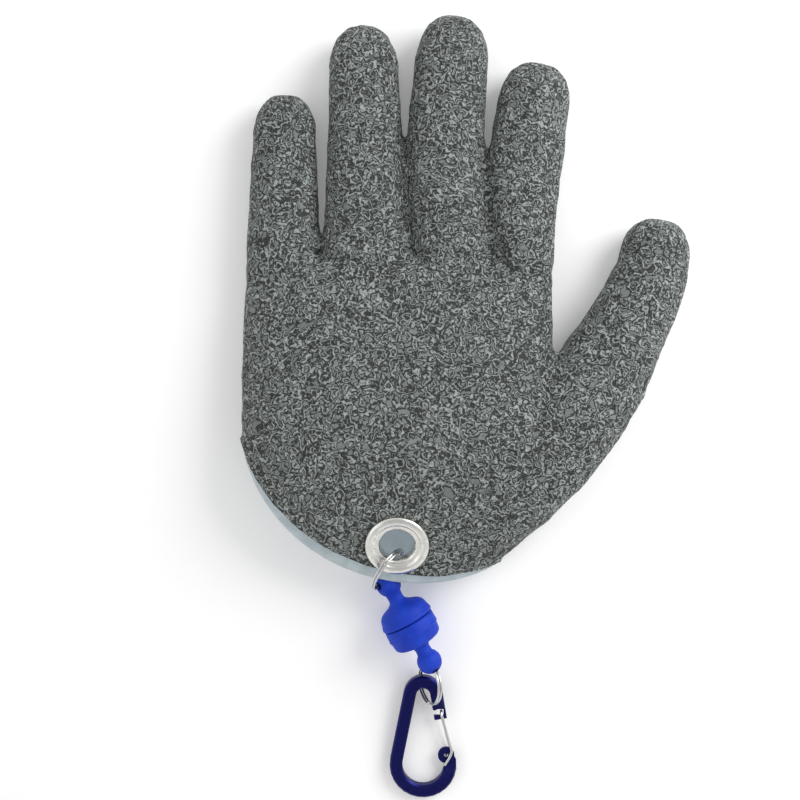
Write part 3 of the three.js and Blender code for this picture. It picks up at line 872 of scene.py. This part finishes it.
def turned(name: str, profile: list[tuple[float, float]], steps: int, place: Matrix) -> bpy.types.Object:
    """Turn a profile round +Z and put it in place.

    Args:
        name: The piece's name.
        profile: Radius and height of each corner, in millimetres.
        steps: How many steps make the turn.
        place: The frame it goes to.

    Returns:
        The object.
    """
    bm = bmesh.new()
    corners = [bm.verts.new((r * MM, 0.0, z * MM)) for r, z in profile]
    edges = [bm.edges.new(pair) for pair in zip(corners, corners[1:])]
    bmesh.ops.spin(
        bm, geom=corners + edges, cent=(0, 0, 0), axis=(0, 0, 1), dvec=(0, 0, 0),
        angle=2 * math.pi, steps=steps, use_merge=True,
    )
    bmesh.ops.remove_doubles(bm, verts=bm.verts[:], dist=2e-6)
    bmesh.ops.recalc_face_normals(bm, faces=bm.faces[:])
    bmesh.ops.transform(bm, matrix=place, verts=bm.verts[:])
    return new_object(name, bm)


def rounded(
    profile: list[tuple[float, float]], rounds: int, closed: bool = False,
) -> list[tuple[float, float]]:
    """Cut a profile's corners round.

    Args:
        profile: The corners.
        rounds: How many times each corner is cut.
        closed: Whether the last corner joins the first.

    Returns:
        The rounder profile.
    """
    points = list(profile)
    for _ in range(rounds):
        pairs = list(zip(points, points[1:]))
        cut = [points[0]] if not closed else []
        for (r0, z0), (r1, z1) in pairs:
            cut.append((0.75 * r0 + 0.25 * r1, 0.75 * z0 + 0.25 * z1))
            cut.append((0.25 * r0 + 0.75 * r1, 0.25 * z0 + 0.75 * z1))
        points = cut + ([cut[0]] if closed else [points[-1]])
    return points


@dataclass
class Eyelet:
    """The domed nickel eyelet."""

    sizes: EyeletSizes
    gap: float = 0.3
    layers: float = 2.6

    def build(self, material: bpy.types.Material) -> bpy.types.Object:
        """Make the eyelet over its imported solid."""
        s = self.sizes
        barrel = s.hole_r + s.metal
        lip = -self.layers - 2 * self.gap - s.metal
        top = self.gap + s.crown
        profile = [
            (s.hole_r, lip), (barrel + 0.9, lip - 0.5), (barrel + 0.9, lip), (barrel, lip + 0.2),
            (barrel, self.gap), (s.flange_r - 0.1, self.gap), (s.flange_r, self.gap + 0.3),
            (s.flange_r - 0.15, self.gap + 0.8), (s.flange_r - 0.9, top - 0.15), (s.flange_r - 1.8, top),
            (s.flange_r - 2.6, top - 0.1), (s.flange_r - 3.2, top - 0.65), (s.hole_r + 1.9, self.gap + 0.62),
            (s.hole_r + 1.2, self.gap + 0.62), (s.hole_r + 0.45, self.gap + 0.3), (s.hole_r + 0.05, -0.3),
            (s.hole_r, -1.0), (s.hole_r, lip),
        ]
        obj = turned("domed_eyelet", rounded(profile, 1, closed=True), 96, eyelet_frame())
        obj.data.materials.append(material)
        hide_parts("eyelet")
        return obj


def drawn(name: str, outline: list[tuple[float, float]], stations: list[Matrix]) -> bpy.types.Object:
    """Draw a closed outline through stations, with closed ends.

    Args:
        name: The piece's name.
        outline: The outline's corners in the stations' XY plane, in millimetres.
        stations: Frames along the bar, in metres.

    Returns:
        The object.
    """
    bm = bmesh.new()
    corners = [bm.verts.new(stations[0] @ Vector((x * MM, y * MM, 0))) for x, y in outline]
    start = [bm.edges.new((corners[i - 1], corners[i])) for i in range(len(corners))]
    edges = start
    for before, after in zip(stations, stations[1:]):
        made = bmesh.ops.extrude_edge_only(bm, edges=edges)["geom"]
        verts = [v for v in made if isinstance(v, bmesh.types.BMVert)]
        edges = [e for e in made if isinstance(e, bmesh.types.BMEdge) and e.is_boundary]
        bmesh.ops.transform(bm, matrix=after @ before.inverted(), verts=verts)
    bmesh.ops.holes_fill(bm, edges=[e for e in bm.edges if e.is_boundary], sides=0)
    bmesh.ops.recalc_face_normals(bm, faces=bm.faces[:])
    return new_object(name, bm)


def round_outline(radius: float, sides: int) -> list[tuple[float, float]]:
    """Give a round outline."""
    angles = [2 * math.pi * i / sides for i in range(sides)]
    return [(radius * math.cos(angle), radius * math.sin(angle)) for angle in angles]


def along(points: list[Vector], up: Vector) -> list[Matrix]:
    """Give frames along a path, each with its Z along the path.

    Args:
        points: The path, in metres.
        up: A direction that the path never runs along.

    Returns:
        One frame for each point.
    """
    frames = []
    side = None
    for i, point in enumerate(points):
        ahead = (points[min(i + 1, len(points) - 1)] - points[max(i - 1, 0)]).normalized()
        side = ahead.cross(up).normalized() if side is None else (side - ahead * side.dot(ahead)).normalized()
        axes = Matrix((side, ahead.cross(side), ahead)).transposed().to_4x4()
        frames.append(Matrix.Translation(point) @ axes)
    return frames


@dataclass
class SplitRing:
    """A split ring of two turns of round wire, side by side."""

    name: str
    node: str
    radius: float
    centre: Vector
    heading: float
    lean: float
    wire: float = 0.9
    turn_gap: float = 0.12
    ramp: tuple[float, float] = (0.88, 1.12)
    trim: float = 0.012
    steps: int = 72

    def frame(self) -> Matrix:
        """Give the ring's own frame: X to its far end, Y up its leaning plane."""
        turn = math.radians(self.heading)
        heading = Vector((math.cos(turn), math.sin(turn), 0))
        lean = math.radians(self.lean)
        rise = Vector((-heading.y, heading.x, 0)) * math.sin(lean) + Vector((0, 0, math.cos(lean)))
        axes = Matrix((heading, rise, heading.cross(rise))).transposed().to_4x4()
        return Matrix.Translation(self.centre) @ axes

    def build(self, material: bpy.types.Material) -> bpy.types.Object:
        """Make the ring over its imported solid."""
        place = self.frame()
        pitch = self.wire + self.turn_gap
        points = []
        for i in range(2 * self.steps + 1):
            turn = i / self.steps
            climb = min(1.0, max(0.0, (turn - self.ramp[0]) / (self.ramp[1] - self.ramp[0])))
            climb = climb * climb * (3 - 2 * climb)
            angle = 2 * math.pi * (self.trim + turn * (1 - self.trim))
            across = (climb - 0.5) * pitch
            local = Vector((self.radius * math.cos(angle), self.radius * math.sin(angle), across))
            points.append(place @ (local * MM))
        stations = along(points, place.to_3x3().col[2])
        obj = drawn(self.name, round_outline(self.wire / 2, WIRE_SIDES), stations)
        obj.data.materials.append(material)
        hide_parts(self.node)
        return obj

    def cutter(self, hole: float) -> bpy.types.Object:
        """Make the round channel that the ring needs through a lug."""
        place = self.frame()
        bm = bmesh.new()
        made = bmesh.ops.create_circle(bm, cap_ends=False, segments=20, radius=hole * MM)
        spot = Matrix.Translation((self.radius * MM, 0, 0)) @ Matrix.Rotation(math.pi / 2, 4, "X")
        bmesh.ops.transform(bm, matrix=spot, verts=made["verts"])
        bmesh.ops.spin(
            bm, geom=bm.verts[:] + bm.edges[:], cent=(0, 0, 0), axis=(0, 0, 1), dvec=(0, 0, 0),
            angle=2 * math.pi, steps=64, use_merge=True,
        )
        bmesh.ops.remove_doubles(bm, verts=bm.verts[:], dist=2e-6)
        bmesh.ops.recalc_face_normals(bm, faces=bm.faces[:])
        bmesh.ops.transform(bm, matrix=place, verts=bm.verts[:])
        return new_object("ring channel", bm)


def hollowed(obj: bpy.types.Object, tool: bpy.types.Object) -> None:
    """Cut a tool's shape out of an object, and remove the tool."""
    cut = obj.modifiers.new("cut", "BOOLEAN")
    cut.operation = "DIFFERENCE"
    cut.solver = "EXACT"
    cut.object = tool
    applied(obj)
    bpy.data.objects.remove(tool)


@dataclass
class Release:
    """The two halves of the magnetic release."""

    upper_eye: Vector
    turn: float = -62.0
    radius: float = 9.6
    upper_length: float = 15.0
    lower_length: float = 17.2
    neck: float = 2.8
    eye: float = 4.65
    eye_hole: float = 1.5
    gap: float = 0.3

    def axis(self) -> Vector:
        """Give the release's direction, away from the glove."""
        turn = math.radians(self.turn)
        return Vector((math.cos(turn), math.sin(turn), 0))

    def lower_eye(self) -> Vector:
        """Give the lower eye's centre."""
        return self.upper_eye + self.axis() * (self.upper_length + self.lower_length) * MM

    def frame(self) -> Matrix:
        """Give the release's frame at the upper eye: Z along the axis."""
        ahead = self.axis()
        side = Vector((-ahead.y, ahead.x, 0))
        axes = Matrix((side, ahead.cross(side), ahead)).transposed().to_4x4()
        return Matrix.Translation(self.upper_eye) @ axes

    def eye_profile(self, centre: float, sign: int) -> list[tuple[float, float]]:
        """Give the eye's half-round profile, from its free end to its neck."""
        return [
            (self.eye * math.sin(math.radians(t)), centre - sign * self.eye * math.cos(math.radians(t)))
            for t in (0, 18, 36, 54, 72, 90, 108, 126, 140)
        ]

    def build(
        self, upper: SplitRing, lower: SplitRing, material: bpy.types.Material,
    ) -> tuple[bpy.types.Object, bpy.types.Object]:
        """Make both halves.

        Args:
            upper: The ring in the upper eye.
            lower: The ring in the lower eye.
            material: The blue skin.

        Returns:
            The upper half and the lower half.
        """
        big, face = self.radius, self.upper_length
        body = [
            (self.neck, 5.7), (self.neck + 0.25, 6.9), (big * 0.5, 8.2), (big * 0.78, 9.2),
            (big * 0.91, 10.4), (big * 0.965, 12.0), (big, face - 1.7), (big + 0.28, face - 1.1),
            (big + 0.3, face - 0.4), (big + 0.1, face - 0.06), (big - 0.5, face), (0.0, face),
        ]
        first = turned("release_upper", self.eye_profile(0.0, 1) + rounded(body, 1), 72, self.frame())
        start = face + self.gap
        far = face + self.lower_length
        body = [
            (0.0, start), (big - 0.5, start), (big + 0.05, start + 0.3), (big + 0.05, start + 3.5),
            (big + 0.22, start + 3.9), (big + 0.1, start + 4.4), (big * 0.975, start + 4.9),
            (big * 0.955, start + 7.0), (big * 0.92, start + 8.0), (big * 0.80, start + 8.9),
            (big * 0.52, start + 9.5), (self.neck + 0.4, start + 10.2), (self.neck, start + 11.4),
        ]
        second = turned(
            "release_lower", rounded(body, 1) + self.eye_profile(far, -1)[::-1], 72, self.frame(),
        )
        for half, ring, node in ((first, upper, "magnet_upper"), (second, lower, "magnet_lower")):
            hollowed(half, ring.cutter(self.eye_hole))
            half.data.materials.append(material)
            for polygon in half.data.polygons:
                polygon.use_smooth = True
            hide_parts(node)
        return first, second


@dataclass
class Carabiner:
    """The flat-bar carabiner: its own frame is at the top bend's centre, -Y towards the bottom bend."""

    lower_eye: Vector
    from_eye: tuple[float, float] = (-2.18, -13.76)
    bar: float = 4.7
    thickness: float = 3.8
    top_r: float = 5.0
    bottom_r: float = 10.2
    span: float = 26.6
    lift: float = 3.0
    nose: tuple[float, float] = (6.5, -8.8)
    knob_share: tuple[float, float] = (0.85, 0.33)
    gate_wire: float = 1.1
    gate_spread: float = 1.35
    gate_end: tuple[float, float] = (0.3, 2.4)
    gate_bend: float = 0.9
    gate_elbow: tuple[float, float] = (1.9, 1.4)
    gate_tail: tuple[float, float] = (-0.6, -3.6)

    def place(self) -> Matrix:
        """Give the hook's frame: its far end on the table, its near end lifted to the ring."""
        length = self.span + self.top_r + self.bottom_r + self.bar
        rise = self.thickness / 2 + self.lift * (1 - (self.top_r + self.bar / 2) / length)
        x, y = self.from_eye
        spot = Vector((self.lower_eye.x + x * MM, self.lower_eye.y + y * MM, rise * MM))
        return Matrix.Translation(spot) @ Matrix.Rotation(math.asin(self.lift / length), 4, "X")

    def knob(self) -> tuple[float, float]:
        """Give the knob's centre, from shares of the bottom bend's radius."""
        across, up = self.knob_share
        return across * self.bottom_r, -self.span + up * self.bottom_r

    def build_body(self) -> bpy.types.Object:
        """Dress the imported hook: a merged copy with its edges eased."""
        bm = merged_copy("carabiner_body")
        bmesh.ops.dissolve_limit(
            bm, angle_limit=math.radians(1.5), use_dissolve_boundaries=False,
            verts=bm.verts[:], edges=bm.edges[:],
        )
        bmesh.ops.triangulate(bm, faces=[f for f in bm.faces if len(f.verts) > 4])
        obj = new_object("carabiner_bar", bm)
        obj.data.set_sharp_from_angle(angle=math.radians(28))
        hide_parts("carabiner_body")
        return obj

    def build_gate(self) -> bpy.types.Object:
        """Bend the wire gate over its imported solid."""
        place = self.place()
        kx, ky = self.knob()
        gx, gy = self.nose[0] + self.gate_end[0], self.nose[1] + self.gate_end[1]
        level = self.gate_spread
        nose = (gx, gy - self.gate_bend)
        elbow = (kx + self.gate_elbow[0], ky + self.gate_elbow[1])
        tail = (kx + self.gate_tail[0], ky + self.gate_tail[1])

        def lerp(share: float) -> tuple[float, float]:
            """Give a place on the straight stretch, from the elbow to the nose."""
            return elbow[0] + (nose[0] - elbow[0]) * share, elbow[1] + (nose[1] - elbow[1]) * share

        marks = [(kx, ky, -0.3), (kx, ky, -level), (*elbow, -level)]
        marks += [(*lerp(s), -level) for s in (0.3, 0.6, 0.9)]
        marks += [(*nose, -level * 0.8), (gx, gy, 0.0), (*nose, level * 0.8)]
        marks += [(*lerp(s), level) for s in (0.9, 0.6, 0.3)]
        marks += [(*elbow, level), (*tail, level)]
        points = smooth_path([place @ (Vector(m) * MM) for m in marks], 8)
        stations = along(points, place.to_3x3().col[0])
        obj = drawn("gate_wire", round_outline(self.gate_wire / 2, WIRE_SIDES), stations)
        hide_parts("carabiner_gate")
        return obj


def smooth_path(marks: list[Vector], steps: int) -> list[Vector]:
    """Run a smooth curve through marks, with steps between each two."""
    points = []
    for i in range(len(marks) - 1):
        a, b = marks[max(0, i - 1)], marks[i]
        c, d = marks[i + 1], marks[min(len(marks) - 1, i + 2)]
        for k in range(steps):
            t = k / steps
            square = (2 * a - 5 * b + 4 * c - d) * t**2
            cube = (3 * b - a - 3 * c + d) * t**3
            points.append(0.5 * (2 * b + (c - a) * t + square + cube))
    return points + [marks[-1]]


@dataclass(frozen=True)
class Lamp:
    """One square soft light: its place and side in metres, and its power in watts."""

    name: str
    place: tuple[float, float, float]
    size: float
    power: float


@dataclass
class Studio:
    """The pale floor, the soft lights and the camera straight above, in metres."""

    camera_height: float = 0.400
    half_view: float = 0.37949
    sensor: float = 36.0
    floor_half: float = 3.0
    floor_drop: float = 0.0002
    floor_white: float = 0.9
    floor_glow: float = 0.14
    sky_from: float = 0.45
    sky_to: float = 0.99
    sky_side: float = 0.88
    sky_top: float = 0.50
    lamps: tuple[Lamp, ...] = (
        Lamp("key", (0.46, 0.30, 0.40), 0.40, 3.2),
        Lamp("fill", (-0.50, -0.10, 0.45), 0.45, 0.3),
    )

    def build(self) -> None:
        """Set the stage."""
        bm = bmesh.new()
        bmesh.ops.create_grid(bm, x_segments=1, y_segments=1, size=self.floor_half)
        bmesh.ops.translate(bm, vec=(0, 0, -self.floor_drop), verts=bm.verts[:])
        floor = new_object("floor", bm, smooth=False)
        paper = Finish("white paper")
        white = self.floor_white
        paper.set(Base_Color=(white, white, white, 1.0), Roughness=0.9)
        paper.set(Emission_Color=(1.0, 1.0, 1.0, 1.0), Emission_Strength=self.floor_glow)
        floor.data.materials.append(paper.material)
        self.world()
        for lamp in self.lamps:
            self.hang(lamp)
        camera = bpy.data.cameras.new("camera")
        camera.sensor_width = self.sensor
        camera.lens = self.sensor / 2 / self.half_view
        holder = bpy.data.objects.new("camera", camera)
        holder.location = HAND.origin + Vector((0, 0, self.camera_height))
        bpy.context.scene.collection.objects.link(holder)
        bpy.context.scene.camera = holder

    def world(self) -> None:
        """Fill the surroundings with soft white light."""
        world = bpy.data.worlds.new("studio")
        world.use_nodes = True
        g = Graph(world.node_tree)
        way = g.node("ShaderNodeTexCoord").outputs["Generated"]
        high = g.node("ShaderNodeSeparateXYZ", {"Vector": way}).outputs["Z"]
        ground = world.node_tree.nodes["Background"]
        ground.inputs["Color"].default_value = (1.0, 1.0, 1.0, 1.0)
        strength = g.remap(high, self.sky_from, self.sky_to, self.sky_side, self.sky_top)
        world.node_tree.links.new(strength, ground.inputs["Strength"])
        bpy.context.scene.world = world

    @staticmethod
    def hang(lamp: Lamp) -> None:
        """Hang one soft light that faces the glove."""
        light = bpy.data.lights.new(lamp.name, "AREA")
        light.size = lamp.size
        light.energy = lamp.power
        holder = bpy.data.objects.new(lamp.name, light)
        place = Vector(lamp.place)
        holder.location = place
        holder.rotation_euler = (HAND.origin - place).to_track_quat("-Z", "Y").to_euler()
        bpy.context.scene.collection.objects.link(holder)


def dressed(obj: bpy.types.Object, body: str, material: bpy.types.Material | None = None) -> None:
    """Attach a piece to its body and log it."""
    if material is not None:
        obj.data.materials.append(material)
    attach(obj, body)
    LOG.info("%s: %d faces, on %s", obj.name, len(obj.data.polygons), body)


def main() -> None:
    """Build the stage and every piece of the glove."""
    logging.basicConfig(level=logging.INFO, format="%(message)s")
    bpy.context.scene.view_settings.view_transform = "Standard"
    Studio().build()
    latex = CrinkledLatex().build(crinkle_group(CrinkleSizes()))
    liner = LinerCloth().build()
    nickel = BrightMetal().build()
    steel = BrightMetal("spring steel", (0.66, 0.66, 0.65), 0.18).build()
    silicone = BlueSilicone().build()
    anodised = BlueAnodised().build()

    form = GloveForm()
    form.build()
    cloth = GloveCloth(form)
    dressed(cloth.build_coat(latex), "glove")
    dressed(cloth.build_lining(liner), "glove")
    dressed(Eyelet(EYELET).build(nickel), "glove")
    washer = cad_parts["eyelet_washer"]
    washer.data.materials.clear()
    washer.data.materials.append(nickel)

    seat = eyelet_frame().translation
    ring_centre = seat + Vector(CHAIN.upper_ring_at) * MM
    upper_ring = SplitRing(
        "eyelet_ring", "upper_ring", CHAIN.upper_ring_r, ring_centre, CHAIN.upper_heading, CHAIN.upper_lean,
    )
    dressed(upper_ring.build(steel), "glove")
    eye_x, eye_y = CHAIN.eye_at
    eye = Vector((ring_centre.x + eye_x * MM, ring_centre.y + eye_y * MM, CHAIN.eye_height * MM))
    release = Release(eye)
    lower = release.lower_eye()
    lower_centre = lower + Vector(CHAIN.lower_ring_at) * MM
    lower_ring = SplitRing(
        "release_ring", "lower_ring", CHAIN.lower_ring_r, lower_centre, CHAIN.lower_heading, CHAIN.lower_lean,
    )
    first, second = release.build(upper_ring, lower_ring, silicone)
    dressed(first, "glove")
    dressed(second, "release")
    dressed(lower_ring.build(steel), "release")

    carabiner = Carabiner(lower)
    dressed(carabiner.build_body(), "release", anodised)
    dressed(carabiner.build_gate(), "gate", steel)


if __name__ == "__main__":
    main()
